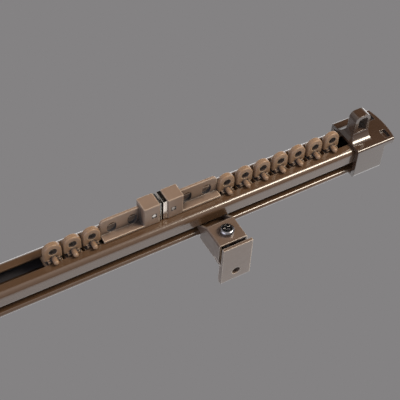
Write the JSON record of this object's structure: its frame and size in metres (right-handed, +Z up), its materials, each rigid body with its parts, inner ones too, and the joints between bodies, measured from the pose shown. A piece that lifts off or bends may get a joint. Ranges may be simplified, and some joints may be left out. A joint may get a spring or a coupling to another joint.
{
  "type": "curtain track",
  "caption": "Wall-mounted curtain track: a slotted steel rail with end caps, clamp brackets, sliding hook runners and a pair of magnet carriages that meet.",
  "frame": {"origin": "on the wall, midway between the two wall screws", "axes": "+X along the rail, towards the end that the picture shows; +Y into the wall; +Z up, with the slot facing down"},
  "size_m": [0.3724, 0.0454, 0.0482],
  "materials": {
    "rail_steel": "polished brown lacquer on steel",
    "bracket_steel": "satin brown paint on steel",
    "cap_plastic": "gloss moulded",
    "carriage_plastic": "satin moulded",
    "runner_plastic": "satin moulded",
    "magnet_nickel": "nickel plated",
    "keeper_steel": "zinc plated steel",
    "pin_steel": "bright steel",
    "screw_steel": "black plated steel"
  },
  "bodies": {
    "track": {"rail": "rail_steel", "end_cap_right": "cap_plastic", "end_cap_left": "cap_plastic", "bracket_right": "bracket_steel", "rail_clamp_right": "bracket_steel", "clamp_screw_right": "screw_steel", "bracket_left": "bracket_steel", "rail_clamp_left": "bracket_steel", "clamp_screw_left": "screw_steel"},
    "right_carriage": {"carriage_right": "carriage_plastic", "magnet": "magnet_nickel", "magnet_pin": "pin_steel"},
    "left_carriage": {"carriage_left": "carriage_plastic", "keeper_plate": "keeper_steel", "keeper_pin": "pin_steel"},
    "right_runner_1": {"runner_right_1": "runner_plastic"},
    "right_runner_2": {"runner_right_2": "runner_plastic"},
    "right_runner_3": {"runner_right_3": "runner_plastic"},
    "right_runner_4": {"runner_right_4": "runner_plastic"},
    "right_runner_5": {"runner_right_5": "runner_plastic"},
    "right_runner_6": {"runner_right_6": "runner_plastic"},
    "right_runner_7": {"runner_right_7": "runner_plastic"},
    "left_runner_1": {"runner_left_1": "runner_plastic"},
    "left_runner_2": {"runner_left_2": "runner_plastic"},
    "left_runner_3": {"runner_left_3": "runner_plastic"}
  },
  "joints": [
    {"name": "right_runner_7_slide", "type": "slide", "parent": "track", "child": "right_runner_7", "axis": [1, 0, 0], "range_m": [-0.01, 0.005]},
    {"name": "right_runner_6_slide", "type": "slide", "parent": "right_runner_7", "child": "right_runner_6", "axis": [1, 0, 0], "range_m": [-0.006, 0.0011]},
    {"name": "right_runner_5_slide", "type": "slide", "parent": "right_runner_6", "child": "right_runner_5", "axis": [1, 0, 0], "range_m": [-0.006, 0.0011]},
    {"name": "right_runner_4_slide", "type": "slide", "parent": "right_runner_5", "child": "right_runner_4", "axis": [1, 0, 0], "range_m": [-0.006, 0.0011]},
    {"name": "right_runner_3_slide", "type": "slide", "parent": "right_runner_4", "child": "right_runner_3", "axis": [1, 0, 0], "range_m": [-0.006, 0.0011]},
    {"name": "right_runner_2_slide", "type": "slide", "parent": "right_runner_3", "child": "right_runner_2", "axis": [1, 0, 0], "range_m": [-0.006, 0.0011]},
    {"name": "right_runner_1_slide", "type": "slide", "parent": "right_runner_2", "child": "right_runner_1", "axis": [1, 0, 0], "range_m": [-0.006, 0.0011]},
    {"name": "right_carriage_slide", "type": "slide", "parent": "right_runner_1", "child": "right_carriage", "axis": [1, 0, 0], "range_m": [-0.006, 0]},
    {"name": "left_carriage_slide", "type": "slide", "parent": "right_carriage", "child": "left_carriage", "axis": [1, 0, 0], "range_m": [-0.05, 0.0004]},
    {"name": "left_runner_1_slide", "type": "slide", "parent": "left_carriage", "child": "left_runner_1", "axis": [1, 0, 0], "range_m": [-0.012, 0]},
    {"name": "left_runner_2_slide", "type": "slide", "parent": "left_runner_1", "child": "left_runner_2", "axis": [1, 0, 0], "range_m": [-0.012, 0.0004]},
    {"name": "left_runner_3_slide", "type": "slide", "parent": "left_runner_2", "child": "left_runner_3", "axis": [1, 0, 0], "range_m": [-0.012, 0.0004]}
  ]
}
